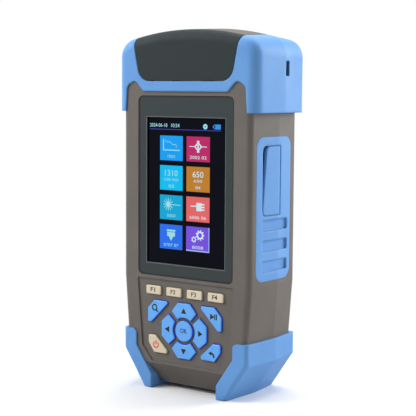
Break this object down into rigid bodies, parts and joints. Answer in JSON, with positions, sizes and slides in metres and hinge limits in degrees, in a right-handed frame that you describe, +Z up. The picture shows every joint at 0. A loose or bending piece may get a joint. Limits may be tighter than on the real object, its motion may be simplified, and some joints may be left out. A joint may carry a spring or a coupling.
{
  "type": "optical time domain reflectometer",
  "caption": "Handheld optical fibre tester with a tall display over a keypad, a soft boot and corner guards, a hinged dust cover over its fibre ports and a side port flap.",
  "frame": {"origin": "on the floor, under the middle of the case", "axes": "+X to the user's right, +Y into the back of the case, +Z up towards the fibre ports"},
  "size_m": [0.0986, 0.0503, 0.2055],
  "materials": {
    "case_plastic": "fine moulded texture, warm grey",
    "soft_blue": "satin soft overmould, light blue",
    "cover_plastic": "satin dark slate",
    "bezel_plastic": "satin dark slate",
    "display_glass": "glossy black",
    "module_metal": "plain sheet",
    "port_metal": "nickel plated",
    "ceramic": "white ceramic",
    "key_rubber": "matt",
    "key_blue": "satin, bright blue",
    "key_cream": "satin, cream",
    "board": "green solder mask",
    "battery_wrap": "shrink wrap",
    "jack_plastic": "moulded",
    "screw_steel": "plated"
  },
  "bodies": {
    "case": {"front_shell": "case_plastic", "rear_shell": "case_plastic", "top_boot": "soft_blue", "guard_left": "soft_blue", "guard_right": "soft_blue", "side_pad_left": "soft_blue", "side_pad_right": "soft_blue", "display_bezel": "bezel_plastic", "display_glass": "display_glass", "display_module": "module_metal", "port_tray": "cover_plastic", "fault_locator_port": "port_metal", "measuring_port": "port_metal", "power_meter_port": "port_metal", "ferrule_sleeves": "ceramic", "key_mat": "key_rubber", "main_board": "board", "side_board": "board", "optical_module": "module_metal", "battery_pack": "battery_wrap", "network_jack": "jack_plastic", "charging_socket": "module_metal", "battery_door": "case_plastic", "case_screws": "screw_steel", "door_screws": "screw_steel", "dust_cover_pin": "screw_steel", "port_flap_pin": "screw_steel", "strap_bar": "screw_steel"},
    "dust_cover": {"dust_cover": "cover_plastic"},
    "port_flap": {"port_flap": "soft_blue"},
    "key_f1": {"key_f1": "key_cream"},
    "key_f2": {"key_f2": "key_cream"},
    "key_f3": {"key_f3": "key_cream"},
    "key_f4": {"key_f4": "key_cream"},
    "key_zoom": {"key_zoom": "key_blue"},
    "key_play": {"key_play": "key_blue"},
    "key_power": {"key_power": "key_cream"},
    "key_back": {"key_back": "key_blue"},
    "key_up": {"key_up": "key_blue"},
    "key_left": {"key_left": "key_blue"},
    "key_down": {"key_down": "key_blue"},
    "key_right": {"key_right": "key_blue"},
    "key_ok": {"key_ok": "key_blue"}
  },
  "joints": [
    {"name": "dust_cover_hinge", "type": "hinge", "parent": "case", "child": "dust_cover", "pos_m": [0, -0.0008, 0.2032], "axis": [-1, 0, 0], "range_deg": [0, 130]},
    {"name": "port_flap_hinge", "type": "hinge", "parent": "case", "child": "port_flap", "pos_m": [0.0443, 0.0022, 0.1218], "axis": [0, 0, 1], "range_deg": [0, 90]},
    {"name": "key_f1_press", "type": "slide", "parent": "case", "child": "key_f1", "axis": [0, 1, 0], "range_m": [0, 0.0008], "stiffness_N_per_m": 1500},
    {"name": "key_f2_press", "type": "slide", "parent": "case", "child": "key_f2", "axis": [0, 1, 0], "range_m": [0, 0.0008], "stiffness_N_per_m": 1500},
    {"name": "key_f3_press", "type": "slide", "parent": "case", "child": "key_f3", "axis": [0, 1, 0], "range_m": [0, 0.0008], "stiffness_N_per_m": 1500},
    {"name": "key_f4_press", "type": "slide", "parent": "case", "child": "key_f4", "axis": [0, 1, 0], "range_m": [0, 0.0008], "stiffness_N_per_m": 1500},
    {"name": "key_zoom_press", "type": "slide", "parent": "case", "child": "key_zoom", "axis": [0, 1, 0], "range_m": [0, 0.0008], "stiffness_N_per_m": 1500},
    {"name": "key_play_press", "type": "slide", "parent": "case", "child": "key_play", "axis": [0, 1, 0], "range_m": [0, 0.0008], "stiffness_N_per_m": 1500},
    {"name": "key_power_press", "type": "slide", "parent": "case", "child": "key_power", "axis": [0, 1, 0], "range_m": [0, 0.0008], "stiffness_N_per_m": 1500},
    {"name": "key_back_press", "type": "slide", "parent": "case", "child": "key_back", "axis": [0, 1, 0], "range_m": [0, 0.0008], "stiffness_N_per_m": 1500},
    {"name": "key_up_press", "type": "slide", "parent": "case", "child": "key_up", "axis": [0, 1, 0], "range_m": [0, 0.0008], "stiffness_N_per_m": 1500},
    {"name": "key_left_press", "type": "slide", "parent": "case", "child": "key_left", "axis": [0, 1, 0], "range_m": [0, 0.0008], "stiffness_N_per_m": 1500},
    {"name": "key_down_press", "type": "slide", "parent": "case", "child": "key_down", "axis": [0, 1, 0], "range_m": [0, 0.0008], "stiffness_N_per_m": 1500},
    {"name": "key_right_press", "type": "slide", "parent": "case", "child": "key_right", "axis": [0, 1, 0], "range_m": [0, 0.0008], "stiffness_N_per_m": 1500},
    {"name": "key_ok_press", "type": "slide", "parent": "case", "child": "key_ok", "axis": [0, 1, 0], "range_m": [0, 0.0008], "stiffness_N_per_m": 1500}
  ]
}
